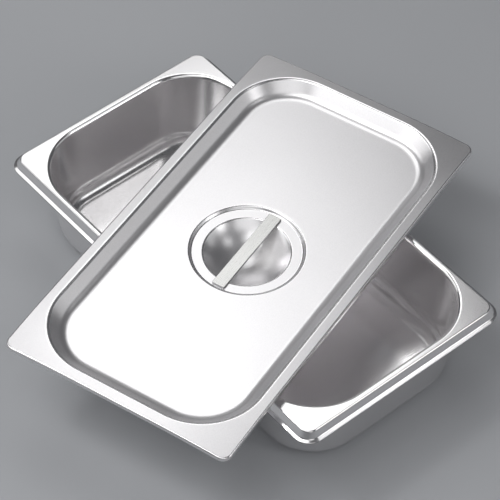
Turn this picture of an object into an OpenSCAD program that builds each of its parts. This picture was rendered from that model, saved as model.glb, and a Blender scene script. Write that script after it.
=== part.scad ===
// Third-size deli food pan with its recessed lid lying crosswise on the rim.
// Origin: centre of the pan's underside. +X runs along the pan, +Z is up. Millimetres.

/* [Pan] */
// Length over the rim's flared lip
pan_length = 325; // [290:1:360]
// Width over the rim's flared lip
pan_width = 176; // [160:1:200]
// Height from the underside to the top of the rim
pan_height = 65; // [50:1:100]
// Thickness of the pan's sheet
pan_sheet = 0.8; // [0.6:0.1:1.0]
// Lean of the walls from upright, in degrees
wall_draft = 4; // [2:0.5:6]
// Corner radius of the opening, where the rim starts to bend down into the pan
opening_corner_r = 46; // [40:1:50]
// Radius between the walls and the floor, on the inside
floor_fillet_r = 12; // [8:1:16]

/* [Rim] */
// Distance from the lip's edge in to the start of the inner bend, at the ends
rim_reach_end = 7.25; // [7:0.25:9]
// Distance from the lip's edge in to the start of the inner bend, at the sides
rim_reach_side = 6.5; // [6.5:0.25:8.5]
// Radius of the inner bend, over the top of the sheet
rim_inner_bend_r = 3; // [2:0.5:4]
// Corner radius of the lip's edge
lip_corner_r = 12; // [11:0.5:14]
// Width from the start of the outer bend out to the lip's edge
skirt_reach = 5.5; // [5.25:0.25:6]
// Drop from the top of the rim to the lip's edge
skirt_drop = 6.5; // [6:0.25:7.5]
// Radius of the outer bend, over the top of the sheet
skirt_bend_r = 1.2; // [1.1:0.1:1.5]
// Slope of the skirt below the horizontal, in degrees
skirt_slope = 64; // [60:1:68]
// Slope of the lip below the horizontal, in degrees
lip_slope = 25; // [20:1:28]
// Radius between the skirt and the lip, over the top of the sheet
lip_bend_r = 1.5; // [1.2:0.1:1.8]

/* [Lid] */
// Thickness of the lid's sheet
lid_sheet = 0.7; // [0.5:0.1:0.9]
// Corner radius of the lid's outer edge
lid_corner_r = 7; // [5:0.5:9]
// Drop of the turned-down edge, below the top of the flange
lid_edge_drop = 2.85; // [2.25:0.15:3.6]
// Radius between the flange and the turned-down edge
lid_edge_bend_r = 1.2; // [1.1:0.1:1.5]
// Width of the flange at the ends, out to the lid's edge
flange_end = 7.5; // [6:0.25:10]
// Width of the flange at the sides, out to the lid's edge
flange_side = 7; // [6:0.25:10]
// Depth of the recessed panel below the flange
recess_depth = 9.5; // [8:0.25:12]
// Slope of the recess wall below the horizontal, in degrees
recess_slope = 45; // [40:1:55]
// Corner radius of the recess at the flange
recess_corner_r = 47; // [44:1:50]
// Radius of the bend from the flange into the recess
recess_bend_r = 3.5; // [2:0.5:4]
// Radius between the recess wall and the panel
recess_fillet_r = 9.5; // [6:0.5:10]

/* [Finger dish] */
// Radius of the ring step in the panel
ring_r = 41; // [39:0.5:43]
// Depth of the ledge inside the ring step
ring_depth = 2; // [1.8:0.2:3]
// Slope of the ring step, in degrees
ring_slope = 50; // [45:1:60]
// Radius of the ring step's two bends, over the top of the sheet
ring_bend_r = 1.5; // [1:0.1:1.6]
// Radius of the dish at the ledge
dish_r = 31.5; // [29:0.5:32]
// Slope of the dish at its edge, in degrees
dish_slope = 45; // [42:1:62]
// Radius of the bend from the ledge into the dish
dish_bend_r = 2; // [1.5:0.1:2.5]
// Length of the straight stretch between that bend and the bowl
dish_run = 1; // [0.5:0.1:2]

/* [Handle strap] */
// Length of the strap
strap_length = 73.6; // [70:0.2:74]
// Width of the strap
strap_width = 9.8; // [8:0.2:14]
// Thickness of the strap
strap_thickness = 1.5; // [1:0.1:2.5]
// Corner radius of the strap's ends
strap_corner_r = 0.8; // [0.5:0.1:2]

/* [Resting place of the lid] */
// Turn of the lid on the pan, in degrees
lid_turn = 107.5; // [90:0.5:115]
// Offset of the lid's centre along the pan
lid_offset_x = 12.5; // [-20:0.5:20]
// Offset of the lid's centre across the pan
lid_offset_y = -12.75; // [-14:0.25:14]
// Clearance between the lid's panel and the pan's rim
seat_gap = 0.2; // [0.1:0.05:0.3]

/* [Hidden] */
$fn = 96;
steel = [0.78, 0.78, 0.79];
strap_steel = [0.72, 0.72, 0.71];
// Each bend is drawn with this many flats
bend_steps = 8;
// Each bent section starts with a flat this long, half of it inside the flat sheet beside it
lap = 0.5;

// Pan: rectangle between the centres of the opening's corner arcs
opening_length = pan_length - 2 * rim_reach_end;
opening_width = pan_width - 2 * rim_reach_side;
opening_core = core_of([opening_length, opening_width], opening_corner_r);
wall_slope = 90 - wall_draft;
// Straight stretch of wall between the rim's inner bend and the floor fillet
wall_run = (pan_height - pan_sheet - (rim_inner_bend_r + floor_fillet_r) * (1 - cos(wall_slope)))
    / sin(wall_slope);

// Rim: the flat top ends where the outer bend starts
rim_flat = [pan_length - 2 * skirt_reach, pan_width - 2 * skirt_reach];
rim_flat_corner_r = lip_corner_r - skirt_reach;
// What the two bends leave of the skirt's reach and drop for its straight stretches
skirt_left_x = skirt_reach - skirt_bend_r * sin(skirt_slope)
    - lip_bend_r * (sin(skirt_slope) - sin(lip_slope));
skirt_left_z = skirt_drop - skirt_bend_r * (1 - cos(skirt_slope))
    - lip_bend_r * (cos(lip_slope) - cos(skirt_slope));
skirt_run = (skirt_left_z * cos(lip_slope) - skirt_left_x * sin(lip_slope))
    / sin(skirt_slope - lip_slope);
lip_run = (skirt_left_x * sin(skirt_slope) - skirt_left_z * cos(skirt_slope))
    / sin(skirt_slope - lip_slope);

// Lid: its own zero is the centre of the flange's top face
lid_top = pan_height + seat_gap + lid_sheet + recess_depth;
recess = [pan_length - 2 * flange_end, pan_width - 2 * flange_side];
recess_core = core_of(recess, recess_corner_r);
recess_run = (recess_depth - (recess_bend_r + recess_fillet_r) * (1 - cos(recess_slope)))
    / sin(recess_slope);
lid_flat = [pan_length - 2 * lid_edge_bend_r, pan_width - 2 * lid_edge_bend_r];
lid_flat_corner_r = lid_corner_r - lid_edge_bend_r;
ledge_top = -recess_depth - ring_depth;
ring_run = (ring_depth - 2 * ring_bend_r * (1 - cos(ring_slope))) / sin(ring_slope);
ring_reach = 2 * ring_bend_r * sin(ring_slope) + ring_run * cos(ring_slope);
// The dish is a bowl of one large radius below its edge
bowl_r = (dish_r - dish_run * cos(dish_slope)) / sin(dish_slope) - dish_bend_r;

// Rectangle between the corner centres of a rounded rectangle
function core_of(size, r) = [size[0] - 2 * r, size[1] - 2 * r];

// A bent sheet's section runs outward (side = 1) or inward (side = -1) and down.
// Coordinates are [outward, up]. These are its direction and its upward normal
// where it slopes down by the given angle.
function along(side, slope) = [side * cos(slope), -sin(slope)];
function up(side, slope) = [side * sin(slope), cos(slope)];

// Places along the sheet's top surface, each as [point, slope]. A move is
// [radius, slope, run]: a bend to that slope, then a straight run. The radius is over
// the top of the sheet, and it is negative where the bend makes the sheet flatter.
function places(from, side, slope, moves, i = 0) =
    i == len(moves) ? [] :
    let (
        r = moves[i][0],
        to = moves[i][1],
        run = moves[i][2],
        bend = [
            for (k = [1 : bend_steps])
                let (s = slope + (to - slope) * k / bend_steps)
                    [from + r * (up(side, s) - up(side, slope)), s]
        ],
        end = bend[bend_steps - 1][0] + run * along(side, to)
    )
    concat(bend, run > 0 ? [[end, to]] : [], places(end, side, to, moves, i + 1));

function clear_of_axis(p) = [max(0, p[0]), p[1]];

// Section of a bent sheet. It starts with a short flat and ends after the last move.
module bent_section(from, side, moves, sheet) {
    start = [[from - lap * along(side, 0), 0], [from, 0]];
    line = concat(start, places(from, side, 0, moves));
    top_face = [for (place = line) clear_of_axis(place[0])];
    under_face = [
        for (i = [len(line) - 1 : -1 : 0])
            clear_of_axis(line[i][0] - sheet * up(side, line[i][1]))
    ];
    polygon(concat(top_face, under_face));
}

// Sweeps a section round a rectangle: turned at its corners, straight along its sides
module swept(core) {
    for (turn = [0 : 90 : 270]) {
        along_x = turn % 180 == 0;
        reach = along_x ? core[0] : core[1];
        width = along_x ? core[1] : core[0];
        rotate(turn) {
            translate([reach / 2, width / 2, 0])
                rotate_extrude(angle = 90) children();
            translate([reach / 2, 0, 0])
                rotate([90, 0, 0])
                    linear_extrude(width, center = true) children();
        }
    }
}

// Rectangle with round corners
module rounded_rectangle(size, r) {
    square([size[0], size[1] - 2 * r], center = true);
    square([size[0] - 2 * r, size[1]], center = true);
    for (sx = [-1, 1], sy = [-1, 1])
        translate([sx * (size[0] / 2 - r), sy * (size[1] / 2 - r)])
            circle(r = r);
}

// Flat sheet between two outlines, reaching half a lap into the bends on both sides
module flat_frame(top, sheet, outer, outer_r, inner, inner_r) {
    edge = lap / 2;
    translate([0, 0, top - sheet])
        linear_extrude(sheet)
            difference() {
                rounded_rectangle([outer[0] - lap, outer[1] - lap], outer_r - edge);
                rounded_rectangle([inner[0] + lap, inner[1] + lap], inner_r + edge);
            }
}

// From the rim's inner bend down the wall to the floor
module pan_bowl_section() {
    floor_r = opening_corner_r - (rim_inner_bend_r + floor_fillet_r) * sin(wall_slope)
        - wall_run * cos(wall_slope);
    bent_section([opening_corner_r, pan_height], -1, [
        [rim_inner_bend_r, wall_slope, wall_run],
        [-floor_fillet_r, 0, floor_r]
    ], pan_sheet);
}

// From the rim's flat top down the skirt and out to the lip's edge
module skirt_section() {
    bent_section([rim_flat_corner_r, pan_height], 1, [
        [skirt_bend_r, skirt_slope, skirt_run],
        [-lip_bend_r, lip_slope, lip_run]
    ], pan_sheet);
}

// Deep-drawn pan: floor, walls, rim, skirt and lip in one sheet
module pan() {
    color(steel) {
        swept(opening_core) pan_bowl_section();
        translate([0, 0, pan_sheet / 2])
            cube([opening_core[0], opening_core[1], pan_sheet], center = true);
        flat_frame(pan_height, pan_sheet, rim_flat, rim_flat_corner_r,
            [opening_length, opening_width], opening_corner_r);
        swept(core_of(rim_flat, rim_flat_corner_r)) skirt_section();
    }
}

// From the flange down the recess wall to the panel
module recess_section() {
    panel_r = recess_corner_r - (recess_bend_r + recess_fillet_r) * sin(recess_slope)
        - recess_run * cos(recess_slope);
    bent_section([recess_corner_r, 0], -1, [
        [recess_bend_r, recess_slope, recess_run],
        [-recess_fillet_r, 0, panel_r]
    ], lid_sheet);
}

// The lid's turned-down edge
module lid_edge_section() {
    bent_section([lid_flat_corner_r, 0], 1, [
        [lid_edge_bend_r, 90, lid_edge_drop - lid_edge_bend_r]
    ], lid_sheet);
}

// From the panel down the ring step, across the ledge and round the finger dish
module dish_section() {
    bent_section([ring_r, -recess_depth], -1, [
        [ring_bend_r, ring_slope, ring_run],
        [-ring_bend_r, 0, ring_r - ring_reach - dish_r],
        [dish_bend_r, dish_slope, dish_run],
        [-bowl_r, 0, 0]
    ], lid_sheet);
}

// Moves the lid's own parts to where the lid lies on the pan
module on_the_pan() {
    translate([lid_offset_x, lid_offset_y, lid_top])
        rotate(lid_turn) children();
}

// Pressed lid: edge, flange, recess, ring step and dish in one sheet
module lid_cover() {
    color(steel) on_the_pan() {
        swept(core_of(lid_flat, lid_flat_corner_r)) lid_edge_section();
        flat_frame(0, lid_sheet, lid_flat, lid_flat_corner_r, recess, recess_corner_r);
        difference() {
            union() {
                swept(recess_core) recess_section();
                translate([0, 0, -recess_depth - lid_sheet / 2])
                    cube([recess_core[0], recess_core[1], lid_sheet], center = true);
            }
            translate([0, 0, -recess_depth - 2 * lid_sheet])
                cylinder(r = ring_r + lap / 2, h = 3 * lid_sheet);
        }
        rotate_extrude() dish_section();
    }
}

// Flat bar across the finger dish, its ends on the ledge
module handle_strap() {
    color(strap_steel) on_the_pan()
        translate([0, 0, ledge_top])
            linear_extrude(strap_thickness)
                rounded_rectangle([strap_length, strap_width], strap_corner_r);
}

pan();
lid_cover();
handle_strap();
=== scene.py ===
"""Looks of a third-size deli food pan with its recessed lid lying crosswise on the rim.

The pan and the lid are pressed steel sheets, so each is built from the section that a
press gives it: bends and straight runs, carried round a rounded rectangle. Sizes of the
object are millimetres until sheet_mesh() turns them into the frame's metres. The studio is
in metres and degrees.
"""
import math

import bpy
from mathutils import Matrix, Vector, noise


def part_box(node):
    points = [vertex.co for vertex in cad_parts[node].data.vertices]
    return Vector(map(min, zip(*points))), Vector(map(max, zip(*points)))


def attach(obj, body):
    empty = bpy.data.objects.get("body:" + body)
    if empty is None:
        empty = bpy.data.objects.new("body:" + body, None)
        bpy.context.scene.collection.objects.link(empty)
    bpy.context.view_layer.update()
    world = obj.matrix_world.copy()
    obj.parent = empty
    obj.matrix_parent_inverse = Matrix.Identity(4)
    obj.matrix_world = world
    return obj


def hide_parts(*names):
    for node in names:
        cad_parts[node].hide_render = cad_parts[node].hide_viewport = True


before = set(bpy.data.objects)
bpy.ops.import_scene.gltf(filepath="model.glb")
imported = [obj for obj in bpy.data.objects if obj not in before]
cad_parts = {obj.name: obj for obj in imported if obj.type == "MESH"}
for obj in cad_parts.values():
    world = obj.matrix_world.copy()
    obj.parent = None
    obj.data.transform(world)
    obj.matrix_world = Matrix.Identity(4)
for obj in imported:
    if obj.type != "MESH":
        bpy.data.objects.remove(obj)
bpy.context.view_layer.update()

# ---------------------------------------------------------------- named values
# Lengths are in millimetres, and slopes in degrees below the level
MM = 0.001
# Points of an outline: on each corner's arc, each long side and each short side
CORNER_STEPS = 24
LONG_STEPS = 28
SHORT_STEPS = 14
DEGREES_PER_BEND_STEP = 5.0
LEAST_BEND_STEPS = 3
EDGE_STEPS = 6
STRAP_EDGE_STEPS = 4
# A straight run has a row this close to each end, so that it shades flat
SUPPORT = 0.35
# The press polishes bends that are tighter than this
POLISHED_R = 8.0
# The "bend" attribute is 0 on flats, 1 in polished bends, and this on a sheared edge, where the steel
# gets painted shade
SHEARED = 2.0

PAN_SHEET = 0.8
PAN_CORNER_R = 46.0
PAN_RIM_REACH_END = 7.25
PAN_RIM_REACH_SIDE = 6.5
PAN_RIM_BEND_R = 3.0
PAN_WALL_SLOPE = 86.0
PAN_FLOOR_FILLET_R = 12.0
LIP_CORNER_R = 12.0
SKIRT_REACH = 5.5
SKIRT_DROP = 6.5
SKIRT_BEND_R = 1.2
SKIRT_SLOPE = 64.0
LIP_BEND_R = 1.5
LIP_SLOPE = 25.0

LID_SHEET = 0.7
LID_CORNER_R = 7.0
LID_EDGE_DROP = 2.85
LID_EDGE_BEND_R = 1.2
LID_FLANGE_END = 7.5
LID_FLANGE_SIDE = 7.0
RECESS_DEPTH = 9.5
RECESS_SLOPE = 45.0
RECESS_CORNER_R = 47.0
RECESS_BEND_R = 3.5
RECESS_FILLET_R = 9.5
# Slope of the lid's flange towards its edge
FLANGE_FALL = 4.5
RING_R = 41.0
RING_DEPTH = 2.0
RING_SLOPE = 50.0
RING_BEND_R = 1.5
DISH_R = 31.5
DISH_SLOPE = 45.0
DISH_BEND_R = 2.0
DISH_RUN = 1.0
# The dish's mesh ends at this slope, close to its centre
DISH_END_SLOPE = 1.0

# Length, width and thickness
STRAP = (73.6, 9.8, 1.5)
STRAP_CORNER_R = 0.8
STRAP_EDGE_R = 0.3

LID_TURN = math.radians(107.5)
# How far across a flat its loops of mesh lie, from 0 at its inner outline to 1 at its outer
FLANGE_SHARES = (0.02, 0.25, 0.5, 0.75, 0.98)
FLOOR_SHARES = (0, 0.15, 0.3, 0.45, 0.6, 0.75, 0.88, 0.95, 0.99)
PANEL_SHARES = (0.02, 0.15, 0.32, 0.5, 0.68, 0.85, 0.95, 0.99)
STRAP_SHARES = (0, 0.3, 0.6, 0.85, 0.98)
# The floor's first loop: its share of the floor's core, and its corner radius
FLOOR_START = 0.02
FLOOR_START_R = 0.6
# Half the width of the strap's first loop
STRAP_START = 0.05
# Depth and length of the sheets' gentle unevenness
WAVE_DEPTH = 0.12
PAN_WAVE = 75
LID_WAVE = 80

# ---------------------------------------------------------------- where the pieces lie
pan_low, pan_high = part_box("pan")
lid_low, lid_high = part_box("lid_cover")
pan_length, pan_width, pan_height = (pan_high - pan_low) / MM
lid_top = Vector(((lid_low.x + lid_high.x) / 2, (lid_low.y + lid_high.y) / 2, lid_high.z))
# The lid and the strap are built about the centre of the flange's top face, in line with X
lid_place = Matrix.Translation(lid_top) @ Matrix.Rotation(LID_TURN, 4, "Z")


# ---------------------------------------------------------------- sections of bent sheet
def along(side, slope):
    """Direction of a section, as (outward, up), where it slopes down by an angle."""
    return Vector((side * math.cos(slope), -math.sin(slope)))


def upward(side, slope):
    """The section's upward normal there."""
    return Vector((side * math.sin(slope), math.cos(slope)))


def stations(run):
    """Distances along a straight run where rows of the mesh lie, up to its end."""
    if run > 3 * SUPPORT:
        return [SUPPORT, run / 2, run - SUPPORT, run]
    return [run]


def bent(side, start, moves):
    """Rows of a sheet's top face from a flat start, as (place, slope, value of "bend").

    The section runs outward (side 1) or inward (side -1) and down. A move is (radius,
    slope in degrees, run): a bend to that slope, then a straight run. The radius is
    negative where the bend makes the sheet flatter.
    """
    place, slope = Vector(start), 0.0
    rows = [(place, slope, 0.5)]
    for radius, degrees, run in moves:
        target = math.radians(degrees)
        polish = 1.0 if abs(radius) < POLISHED_R else 0.0
        turn = abs(degrees - math.degrees(slope))
        steps = max(LEAST_BEND_STEPS, round(turn / DEGREES_PER_BEND_STEP))
        for step in range(1, steps + 1):
            now = slope + (target - slope) * step / steps
            offset = radius * (upward(side, now) - upward(side, slope))
            rows.append((place + offset, now, polish if step < steps else polish / 2))
        place, slope = rows[-1][0], target
        if run > 0:
            straight = along(side, slope)
            rows += [(place + straight * d, slope, 0.0) for d in stations(run)]
            place = place + straight * run
    return rows


def outline(core, radius, height):
    """Points round a rounded rectangle: arcs about the core's corners, and straight sides.

    The core is half the length and half the width between the arcs' centres.
    """
    half_x, half_y = core
    arcs = []
    for quarter in range(4):
        sign_x = 1 if quarter in (0, 3) else -1
        sign_y = 1 if quarter in (0, 1) else -1
        arc = []
        for step in range(CORNER_STEPS + 1):
            angle = (quarter + step / CORNER_STEPS) * math.pi / 2
            arc.append(Vector((
                sign_x * half_x + radius * math.cos(angle),
                sign_y * half_y + radius * math.sin(angle),
                height,
            )))
        arcs.append(arc)
    points = []
    for quarter, arc in enumerate(arcs):
        points += arc
        following = arcs[(quarter + 1) % 4][0]
        steps = LONG_STEPS if quarter in (0, 2) else SHORT_STEPS
        points += [arc[-1].lerp(following, step / steps) for step in range(1, steps)]
    return points


def blended(first, last, shares):
    """Loops between two loops of the same number of points."""
    return [[p.lerp(q, share) for p, q in zip(first, last)] for share in shares]


def faces_between(loop_count, size):
    """Quads between neighbouring loops, each of the same size."""
    quads = []
    for row in range(loop_count - 1):
        for i in range(size):
            j = (i + 1) % size
            quads.append((row * size + i, row * size + j, (row + 1) * size + j, (row + 1) * size + i))
    return quads


def sheet_mesh(name, loops, bending, warp):
    """A closed mesh from loops that run from the centre of one face to the centre of the other.

    Bending holds a value of the "bend" attribute for each loop, and warp gives the
    displacement of a place.
    """
    size = len(loops[0])
    vertices = [p for loop in loops for p in loop]
    quads = faces_between(len(loops), size)
    first = sum(loops[0], Vector()) / size
    last = sum(loops[-1], Vector()) / size
    count = len(vertices)
    vertices += [first, last]
    tail = (len(loops) - 1) * size
    for i in range(size):
        j = (i + 1) % size
        quads.append((count, j, i))
        quads.append((count + 1, tail + i, tail + j))
    mesh = bpy.data.meshes.new(name)
    mesh.from_pydata([(p + warp(p)) * MM for p in vertices], [], quads)
    mesh.validate()
    for polygon in mesh.polygons:
        polygon.use_smooth = True
    bend = mesh.attributes.new("bend", "FLOAT", "POINT")
    values = [amount for amount in bending for _ in range(size)] + [0.0, 0.0]
    bend.data.foreach_set("value", values)
    grain = mesh.uv_layers.new(name="grain")
    for corner in mesh.loops:
        grain.data[corner.index].uv = mesh.vertices[corner.vertex_index].co.xy
    mesh.update()
    piece = bpy.data.objects.new(name, mesh)
    bpy.context.scene.collection.objects.link(piece)
    return piece


def waves(seed, size):
    """A gentle unevenness of a pressed sheet, by place, never below its true height."""
    shift = Vector((seed * 7.3, seed * 3.1, seed))

    def warp(p):
        at = Vector((p.x, p.y, 0)) / size + shift
        return Vector((0, 0, WAVE_DEPTH * (0.5 + 0.5 * noise.noise(at))))

    return warp


def beyond(p, core, radius):
    """Distance of a place outside a rounded rectangle."""
    x, y = max(abs(p.x) - core[0], 0), max(abs(p.y) - core[1], 0)
    return max(math.hypot(x, y) - radius, 0)


def core_of(length, width, radius):
    """Half the length and half the width between the centres of a rounded rectangle's arcs."""
    return (length / 2 - radius, width / 2 - radius)


def offset_row(side, row, sheet):
    """The place under a row, one sheet below the top face."""
    place, slope, _ = row
    return place - sheet * upward(side, slope)


def edge_rounding(row, sheet):
    """Places round the cut edge of a sheet, from its top face to its underside."""
    place, slope, _ = row
    middle = place - upward(1, slope) * sheet / 2
    rows = []
    for step in range(1, EDGE_STEPS):
        angle = math.pi / 2 - math.pi * step / EDGE_STEPS
        reach = along(1, slope) * math.cos(angle) + upward(1, slope) * math.sin(angle)
        rows.append(middle + reach * sheet / 2)
    return rows


def flat_rows(inner, outer, height):
    """Loops across a flat flange between two outlines, each given as (core, radius)."""
    return blended(outline(*inner, height), outline(*outer, height), FLANGE_SHARES)


def lowered(loops, sheet):
    """The same loops, one sheet below."""
    return [[p - Vector((0, 0, sheet)) for p in loop] for loop in loops]


def under(side, core, rows, sheet):
    """Loops of the underside below a section's rows."""
    places = [offset_row(side, row, sheet) for row in rows]
    return [outline(core, place.x, place.y) for place in places]


def assemble(name, middle, inner, outer, sheet, warp):
    """One closed sheet, from the centre of its top face over its cut edge to its underside.

    The middle is (top loops, underside loops, values of "bend"). Inner and outer are
    (core, rows): from the middle up to the flange, and from the flange down to the edge.
    """
    centre, centre_below, centre_bending = middle
    inner_core, inner_rows = inner
    outer_core, outer_rows = outer
    rim = inner_rows[-1][0]
    flange = flat_rows((inner_core, rim.x), (outer_core, outer_rows[0][0].x), rim.y)
    top = centre + [outline(inner_core, row[0].x, row[0].y) for row in inner_rows]
    top += flange + [outline(outer_core, row[0].x, row[0].y) for row in outer_rows]
    edge = [outline(outer_core, p.x, p.y) for p in edge_rounding(outer_rows[-1], sheet)]
    below = centre_below + under(-1, inner_core, inner_rows, sheet)
    below += lowered(flange, sheet) + under(1, outer_core, outer_rows, sheet)
    bending = centre_bending + [row[2] for row in inner_rows]
    bending += [0.0] * len(flange) + [row[2] for row in outer_rows]
    # The cut edge's loops take the value that paints them with dark shade
    bending = bending + [SHEARED] * len(edge) + bending[::-1]
    return sheet_mesh(name, top + edge + below[::-1], bending, warp)


# ---------------------------------------------------------------- pan
def skirt_moves():
    """The rim's skirt and lip: what the two bends leave of the reach and drop is run straight."""
    steep, flat = math.radians(SKIRT_SLOPE), math.radians(LIP_SLOPE)
    bends_x = SKIRT_BEND_R * math.sin(steep) + LIP_BEND_R * (math.sin(steep) - math.sin(flat))
    bends_z = SKIRT_BEND_R * (1 - math.cos(steep)) + LIP_BEND_R * (math.cos(flat) - math.cos(steep))
    left_x = SKIRT_REACH - bends_x
    left_z = SKIRT_DROP - bends_z
    skirt = (left_z * math.cos(flat) - left_x * math.sin(flat)) / math.sin(steep - flat)
    lip = (left_x * math.sin(steep) - left_z * math.cos(steep)) / math.sin(steep - flat)
    return [(SKIRT_BEND_R, SKIRT_SLOPE, skirt), (-LIP_BEND_R, LIP_SLOPE, lip)]


def flat_floor(core, place):
    """Loops of the floor, from a small one at its centre out to its fillet."""
    edge = outline(core, place.x, place.y)
    small = outline((core[0] * FLOOR_START, core[1] * FLOOR_START), FLOOR_START_R, place.y)
    return blended(small, edge, FLOOR_SHARES)


def make_pan():
    """The pan: floor, walls, rim, skirt and lip in one sheet."""
    opening = (pan_length - 2 * PAN_RIM_REACH_END, pan_width - 2 * PAN_RIM_REACH_SIDE)
    opening_core = core_of(*opening, PAN_CORNER_R)
    slope = math.radians(PAN_WALL_SLOPE)
    bends = (PAN_RIM_BEND_R + PAN_FLOOR_FILLET_R) * (1 - math.cos(slope))
    wall = (pan_height - PAN_SHEET - bends) / math.sin(slope)
    bowl = bent(-1, (PAN_CORNER_R, pan_height), [
        (PAN_RIM_BEND_R, PAN_WALL_SLOPE, wall),
        (-PAN_FLOOR_FILLET_R, 0, 0),
    ])
    floor = flat_floor(opening_core, bowl[-1][0])
    middle = (floor, lowered(floor, PAN_SHEET), [0.0] * len(floor))
    flat_r = LIP_CORNER_R - SKIRT_REACH
    flat = (pan_length - 2 * SKIRT_REACH, pan_width - 2 * SKIRT_REACH)
    skirt = bent(1, (flat_r, pan_height), skirt_moves())
    outer = (core_of(*flat, flat_r), skirt)
    return assemble("pan_body", middle, (opening_core, bowl[::-1]), outer, PAN_SHEET, waves(1, PAN_WAVE))


# ---------------------------------------------------------------- lid
recess = (pan_length - 2 * LID_FLANGE_END, pan_width - 2 * LID_FLANGE_SIDE)
recess_core = core_of(*recess, RECESS_CORNER_R)
lid_waves = waves(4, LID_WAVE)


def lid_warp(p):
    """The lid's unevenness, and its flange's slight fall towards its edge."""
    out = beyond(p, recess_core, RECESS_CORNER_R)
    fall = math.tan(math.radians(FLANGE_FALL)) * out
    return lid_waves(p) - Vector((0, 0, fall))


def ring_outline(place, angles):
    """Points of a circle at the bearings of a panel outline's points."""
    return [Vector((place.x * math.cos(a), place.x * math.sin(a), place.y)) for a in angles]


def dish_rows():
    """Rows of the ring step, the ledge and the finger dish, from the panel inward."""
    slope = math.radians(RING_SLOPE)
    run = (RING_DEPTH - 2 * RING_BEND_R * (1 - math.cos(slope))) / math.sin(slope)
    reach = 2 * RING_BEND_R * math.sin(slope) + run * math.cos(slope)
    edge = math.radians(DISH_SLOPE)
    bowl = (DISH_R - DISH_RUN * math.cos(edge)) / math.sin(edge) - DISH_BEND_R
    return bent(-1, (RING_R, -RECESS_DEPTH), [
        (RING_BEND_R, RING_SLOPE, run),
        (-RING_BEND_R, 0, RING_R - reach - DISH_R),
        (DISH_BEND_R, DISH_SLOPE, DISH_RUN),
        (-bowl, DISH_END_SLOPE, 0),
    ])


def lid_middle(panel):
    """The dish, the ledge, the ring step and the panel out to its edge, as assemble() takes them."""
    angles = [math.atan2(p.y, p.x) for p in panel]
    rows = dish_rows()[::-1]
    dish = [ring_outline(row[0], angles) for row in rows]
    dish_below = [ring_outline(offset_row(-1, row, LID_SHEET), angles) for row in rows]
    across = blended(dish[-1], panel, PANEL_SHARES)
    bending = [row[2] for row in rows] + [0.0] * len(across)
    return dish + across, dish_below + lowered(across, LID_SHEET), bending


def make_lid():
    """The lid: edge, flange, recess, ring step and dish in one sheet."""
    slope = math.radians(RECESS_SLOPE)
    bends = (RECESS_BEND_R + RECESS_FILLET_R) * (1 - math.cos(slope))
    wall = bent(-1, (RECESS_CORNER_R, 0), [
        (RECESS_BEND_R, RECESS_SLOPE, (RECESS_DEPTH - bends) / math.sin(slope)),
        (-RECESS_FILLET_R, 0, 0),
    ])
    panel = outline(recess_core, wall[-1][0].x, -RECESS_DEPTH)
    flat_r = LID_CORNER_R - LID_EDGE_BEND_R
    flat = (pan_length - 2 * LID_EDGE_BEND_R, pan_width - 2 * LID_EDGE_BEND_R)
    edge = bent(1, (flat_r, 0), [(LID_EDGE_BEND_R, 90, LID_EDGE_DROP - LID_EDGE_BEND_R)])
    inner = (recess_core, wall[::-1])
    outer = (core_of(*flat, flat_r), edge)
    piece = assemble("lid_sheet", lid_middle(panel), inner, outer, LID_SHEET, lid_warp)
    piece.matrix_world = lid_place
    return piece


# ---------------------------------------------------------------- handle strap
def strap_edge(core, height, sign):
    """Loops round the strap's rounded edge, from a face at a height towards its middle."""
    loops = []
    for step in range(STRAP_EDGE_STEPS + 1):
        angle = math.pi / 2 * step / STRAP_EDGE_STEPS
        reach = STRAP_CORNER_R - STRAP_EDGE_R + STRAP_EDGE_R * math.sin(angle)
        inward = sign * STRAP_EDGE_R * (1 - math.cos(angle))
        loops.append(outline(core, reach, height - inward))
    return loops


def strap_face(core, edge, height):
    """Loops of a flat face of the strap, from its middle line to its edge."""
    line = outline((core[0], STRAP_START), STRAP_START, height)
    return blended(line, edge, STRAP_SHARES)


def make_strap():
    """The flat bar across the finger dish, its ends on the ledge."""
    length, width, thickness = STRAP
    ledge = -RECESS_DEPTH - RING_DEPTH
    core = core_of(length, width, STRAP_CORNER_R)
    upper = strap_edge(core, ledge + thickness, 1)
    lower = strap_edge(core, ledge, -1)
    loops = strap_face(core, upper[0], ledge + thickness) + upper
    loops += (strap_face(core, lower[0], ledge) + lower)[::-1]
    # The strap's cut edge takes the value that paints it with dark shade
    bending = [0.0] * len(STRAP_SHARES) + [1.0] * STRAP_EDGE_STEPS + [SHEARED]
    piece = sheet_mesh("lid_handle_strap", loops, bending + bending[::-1], lid_warp)
    piece.matrix_world = lid_place
    return piece


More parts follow.
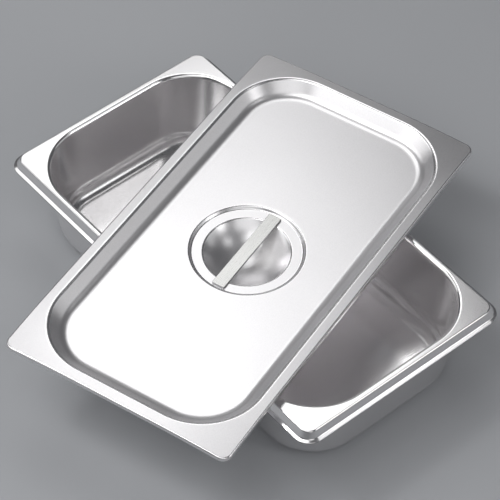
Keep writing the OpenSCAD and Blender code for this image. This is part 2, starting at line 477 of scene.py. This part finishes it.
# ---------------------------------------------------------------- materials
class Nodes:
    """Short calls for building one material's nodes."""

    def __init__(self, name):
        self.material = bpy.data.materials.new(name)
        self.material.use_nodes = True
        self.tree = self.material.node_tree
        self.shader = self.tree.nodes["Principled BSDF"]

    def add(self, kind, **values):
        """A new node with these settings."""
        node = self.tree.nodes.new(kind)
        for key, value in values.items():
            setattr(node, key, value)
        return node

    def link(self, source, target):
        """A link from an output to an input."""
        self.tree.links.new(source, target)

    def stretched(self, scale, turn=0.0):
        """Object coordinates, turned about Z and scaled per metre along each axis."""
        place = self.add("ShaderNodeTexCoord")
        mapping = self.add("ShaderNodeMapping")
        mapping.inputs["Scale"].default_value = scale
        mapping.inputs["Rotation"].default_value = (0, 0, turn)
        self.link(place.outputs["Object"], mapping.inputs["Vector"])
        return mapping.outputs["Vector"]

    def noise(self, vector, scale=1.0, detail=2.0, roughness=0.5, distortion=0.0):
        """A noise's value at a place."""
        node = self.add("ShaderNodeTexNoise")
        self.link(vector, node.inputs["Vector"])
        node.inputs["Scale"].default_value = scale
        node.inputs["Detail"].default_value = detail
        node.inputs["Roughness"].default_value = roughness
        node.inputs["Distortion"].default_value = distortion
        return node.outputs["Fac"]

    def remap(self, value, low, high, to_low, to_high):
        """A value from one range mapped to another, and held at the other's ends."""
        node = self.add("ShaderNodeMapRange")
        self.link(value, node.inputs["Value"])
        node.inputs["From Min"].default_value = low
        node.inputs["From Max"].default_value = high
        node.inputs["To Min"].default_value = to_low
        node.inputs["To Max"].default_value = to_high
        return node.outputs["Result"]

    def math(self, kind, first, second):
        """A sum or other operation on two values, each an output or a number."""
        node = self.add("ShaderNodeMath", operation=kind)
        for socket, value in zip(node.inputs, (first, second)):
            if isinstance(value, (int, float)):
                socket.default_value = value
            else:
                self.link(value, socket)
        return node.outputs["Value"]

    def mix(self, share, first, second):
        """A blend of two colours, each an output or (red, green, blue)."""
        node = self.add("ShaderNodeMix", data_type="RGBA")
        self.link(share, node.inputs["Factor"])
        for socket, value in ((node.inputs["A"], first), (node.inputs["B"], second)):
            if isinstance(value, tuple):
                socket.default_value = (*value, 1)
            else:
                self.link(value, socket)
        return node.outputs["Result"]


# Painted shade on a sheet's cut edges: a dark colour in place of the shadow and dark outline along the
# strap's and the lid's edges
EDGE_SHADE_COLOUR = (0.16, 0.16, 0.17)
METALLIC = 0.93
METAL_IOR = 2.4
# Sizes of the pebble and of the cloudy polish, in features per metre
PEBBLE_SCALE = 1400
CLOUD_SCALE = 14
# Scratches: features per metre along each axis, their turn in radians, and how far from its
# middle value the noise still makes one
SCRATCH_STRETCH = (9, 160, 160)
SCRATCH_TURN = 0.35
SCRATCH_WIDTH = 0.006
# Most of a noise lies between these values
NOISE_BAND = (0.3, 0.7)
PEBBLE_BAND = (0.35, 0.65)
# Shares of cloud and streak in the tone, and the tone of the pebble's pits
TONE_CLOUD = 0.8
TONE_STREAK = 0.2
PIT_TONE = 0.94
# What streaks, clouds and scratches add to the roughness
STREAK_ROUGH = 0.05
CLOUD_ROUGH = 0.012
SCRATCH_ROUGH = 0.03
# Share of the roughness that a polished bend loses
BEND_POLISH = 0.25
# In the bump: how much of the pebble full streaks take away, and how deep a scratch is
STREAK_FOR_PEBBLE = 0.5
SCRATCH_DEPTH = 0.15


def steel(name, pale, deep, roughness, grain, grain_depth, streaks=0.5):
    """Satin stainless steel: brushed streaks, fine pebble, cloudy polish and faint scratches, and
    painted shade on cut edges.

    Grain is the streaks' features per metre (along, across), and streaks their strength.
    """
    m = Nodes(name)
    long_way, cross = grain
    streak = m.noise(m.stretched((long_way, cross, cross)), detail=3.0)
    pebble = m.noise(m.stretched((1, 1, 1)), scale=PEBBLE_SCALE, detail=1.0)
    cloud = m.noise(m.stretched((1, 1, 1)), scale=CLOUD_SCALE, detail=3.0, roughness=0.55)
    scratch_place = m.stretched(SCRATCH_STRETCH, SCRATCH_TURN)
    wear = m.noise(scratch_place, detail=4.0, roughness=0.65, distortion=0.6)
    off_middle = m.math("ABSOLUTE", m.math("SUBTRACT", wear, 0.5), 0.0)
    scratch = m.remap(off_middle, 0.0, SCRATCH_WIDTH, 1.0, 0.0)
    bend = m.add("ShaderNodeAttribute", attribute_name="bend").outputs["Fac"]

    cloud_part = m.math("MULTIPLY", cloud, TONE_CLOUD)
    tone = m.math("ADD", cloud_part, m.math("MULTIPLY", streak, TONE_STREAK))
    colour = m.mix(m.remap(tone, *NOISE_BAND, 0.0, 1.0), deep, pale)
    speck = m.remap(pebble, *PEBBLE_BAND, PIT_TONE, 1.0)
    shade = m.add("ShaderNodeMix", data_type="RGBA", blend_type="MULTIPLY")
    shade.inputs["Factor"].default_value = 1.0
    m.link(colour, shade.inputs["A"])
    m.link(speck, shade.inputs["B"])
    # Painted shade: the cut edges are coloured dark in place of the shadow and dark outline along them
    painted_edge_shade = m.remap(bend, 1.0, SHEARED, 0.0, 1.0)
    base = m.mix(painted_edge_shade, shade.outputs["Result"], EDGE_SHADE_COLOUR)
    m.link(base, m.shader.inputs["Base Color"])

    swing = STREAK_ROUGH * streaks
    rough = m.remap(streak, *NOISE_BAND, roughness - swing, roughness + swing)
    rough = m.math("ADD", rough, m.remap(cloud, *NOISE_BAND, -CLOUD_ROUGH, CLOUD_ROUGH))
    rough = m.math("ADD", rough, m.math("MULTIPLY", scratch, SCRATCH_ROUGH))
    polish = m.remap(bend, 0.0, 1.0, 0.0, BEND_POLISH * roughness)
    rough = m.math("SUBTRACT", rough, polish)
    m.link(rough, m.shader.inputs["Roughness"])

    streak_part = m.math("MULTIPLY", streak, streaks)
    pebble_part = m.math("MULTIPLY", pebble, 1 - STREAK_FOR_PEBBLE * streaks)
    height = m.math("ADD", streak_part, pebble_part)
    height = m.math("SUBTRACT", height, m.math("MULTIPLY", scratch, SCRATCH_DEPTH))
    bump = m.add("ShaderNodeBump")
    bump.inputs["Strength"].default_value = 1.0
    bump.inputs["Distance"].default_value = grain_depth * MM
    m.link(height, bump.inputs["Height"])
    m.link(bump.outputs["Normal"], m.shader.inputs["Normal"])

    m.shader.inputs["Metallic"].default_value = METALLIC
    m.shader.inputs["IOR"].default_value = METAL_IOR
    return m.material


# ---------------------------------------------------------------- studio
LIGHT_DISTANCE = 1.7
# Watts that one square metre of area light takes for one unit of radiance
WATTS_PER_RADIANCE = 4.0
WORLD_COLOUR = (0.07, 0.071, 0.076)
FLOOR_HALF = 6.0
FLOOR_DEEP = (0.40, 0.41, 0.428)
FLOOR_PALE = (0.43, 0.44, 0.458)
FLOOR_ROUGHNESS = 0.75
# Features per metre of the floor's unevenness in tone
FLOOR_SCALE = 3.0
CAMERA_AZIMUTH = math.radians(49.4)
CAMERA_ELEVATION = math.radians(49.495)
CAMERA_ROLL = math.radians(0.785)
CAMERA_DISTANCE = 1.68269
CAMERA_LENS = 177.9
SENSOR_WIDTH = 36.0
# The camera aims this far to the right of the lid's centre and beyond it, in millimetres
AIM_RIGHT = 2.04
AIM_AWAY = -8.5

right = Vector((math.cos(CAMERA_AZIMUTH), math.sin(CAMERA_AZIMUTH), 0))
away = Vector((-math.sin(CAMERA_AZIMUTH), math.cos(CAMERA_AZIMUTH), 0))
upright = Vector((0, 0, 1))


def direction(azimuth, elevation):
    """A direction in the studio. Azimuth 0 is straight away from the camera, positive to its right."""
    turn, rise = math.radians(azimuth), math.radians(elevation)
    flat = right * math.sin(turn) + away * math.cos(turn)
    return flat * math.cos(rise) + upright * math.sin(rise)


def make_camera():
    """The camera at the angle, distance and lens of the photo."""
    data = bpy.data.cameras.new("camera")
    data.lens = CAMERA_LENS
    data.sensor_width = SENSOR_WIDTH
    camera = bpy.data.objects.new("camera", data)
    bpy.context.scene.collection.objects.link(camera)
    aim = lid_top + right * (AIM_RIGHT * MM) + away * (AIM_AWAY * MM)
    looking = direction(0, -math.degrees(CAMERA_ELEVATION))
    place = Matrix.Translation(aim - looking * CAMERA_DISTANCE)
    turned = looking.to_track_quat("-Z", "Y").to_matrix().to_4x4()
    roll = Matrix.Rotation(CAMERA_ROLL, 4, "Z")
    camera.matrix_world = place @ turned @ roll
    bpy.context.scene.camera = camera


def make_softbox(name, azimuth, elevation, size, radiance, spin=0.0):
    """A soft rectangular light that faces the lid's centre, seen from there in that direction."""
    data = bpy.data.lights.new(name, "AREA")
    data.shape = "RECTANGLE"
    data.size, data.size_y = size
    data.energy = radiance * size[0] * size[1] * WATTS_PER_RADIANCE
    lamp = bpy.data.objects.new(name, data)
    bpy.context.scene.collection.objects.link(lamp)
    towards = direction(azimuth, elevation)
    turned = (-towards).to_track_quat("-Z", "Y").to_matrix().to_4x4()
    spun = Matrix.Rotation(math.radians(spin), 4, "Z")
    place = Matrix.Translation(lid_top + towards * LIGHT_DISTANCE)
    lamp.matrix_world = place @ turned @ spun


def make_floor():
    """The pale floor under the pan."""
    half = FLOOR_HALF
    corners = [(-half, -half, 0), (half, -half, 0), (half, half, 0), (-half, half, 0)]
    mesh = bpy.data.meshes.new("floor")
    mesh.from_pydata(corners, [], [(0, 1, 2, 3)])
    floor = bpy.data.objects.new("floor", mesh)
    bpy.context.scene.collection.objects.link(floor)
    m = Nodes("pale_floor")
    tone = m.noise(m.stretched((1, 1, 1)), scale=FLOOR_SCALE, detail=2.0)
    base = m.mix(m.remap(tone, *NOISE_BAND, 0, 1), FLOOR_DEEP, FLOOR_PALE)
    m.link(base, m.shader.inputs["Base Color"])
    m.shader.inputs["Roughness"].default_value = FLOOR_ROUGHNESS
    floor.data.materials.append(m.material)


def make_world():
    """The studio's faint, even light."""
    world = bpy.data.worlds.new("studio")
    bpy.context.scene.world = world
    world.use_nodes = True
    background = world.node_tree.nodes["Background"]
    background.inputs["Color"].default_value = (*WORLD_COLOUR, 1)
    background.inputs["Strength"].default_value = 1.0


make_camera()
make_floor()
make_world()
bpy.context.scene.view_settings.view_transform = "Standard"
# Light goes back and forth many times between the pan's walls and the lid
bpy.context.scene.cycles.glossy_bounces = 12

# Directions in degrees, sizes in metres
make_softbox("front_bank", -7.5, 56, (0.82, 0.88), 1.18, spin=15)
make_softbox("front_high", -20, 54, (0.45, 0.50), 0.5)
make_softbox("front_low", -8, 20, (1.2, 0.5), 0.3)
make_softbox("key", -84, 56, (0.28, 0.26), 10.0)
make_softbox("left_bank", -112, 60, (0.9, 0.7), 1.9)
make_softbox("left_side", -92, 34, (2.0, 1.0), 0.95)
make_softbox("right_bank", 92, 55, (0.36, 0.40), 1.3)
make_softbox("right_low", 90, 20, (1.3, 0.5), 0.5)
make_softbox("right_rear", 114, 26, (0.5, 0.7), 2.2)
make_softbox("back_right", 160, 12, (0.9, 0.4), 0.8)
make_softbox("back_bank", 178, 44, (1.5, 1.0), 0.75)
make_softbox("top_back", -150, 74, (0.7, 0.6), 1.3)

pan = make_pan()
lid = make_lid()
strap = make_strap()
pan.data.materials.append(steel(
    "pan_steel", (0.90, 0.89, 0.895), (0.87, 0.86, 0.865), 0.19, (60, 2600), 0.0003, streaks=0.12
))
lid.data.materials.append(steel(
    "lid_steel", (0.87, 0.86, 0.87), (0.855, 0.845, 0.855), 0.31, (60, 2600), 0.0003, streaks=0.12
))
strap.data.materials.append(steel(
    "strap_steel", (0.72, 0.72, 0.705), (0.52, 0.52, 0.51), 0.28, (120, 2200), 0.006
))

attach(pan, "pan")
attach(lid, "lid")
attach(strap, "lid")
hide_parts("pan")
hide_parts("lid_cover")
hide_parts("handle_strap")
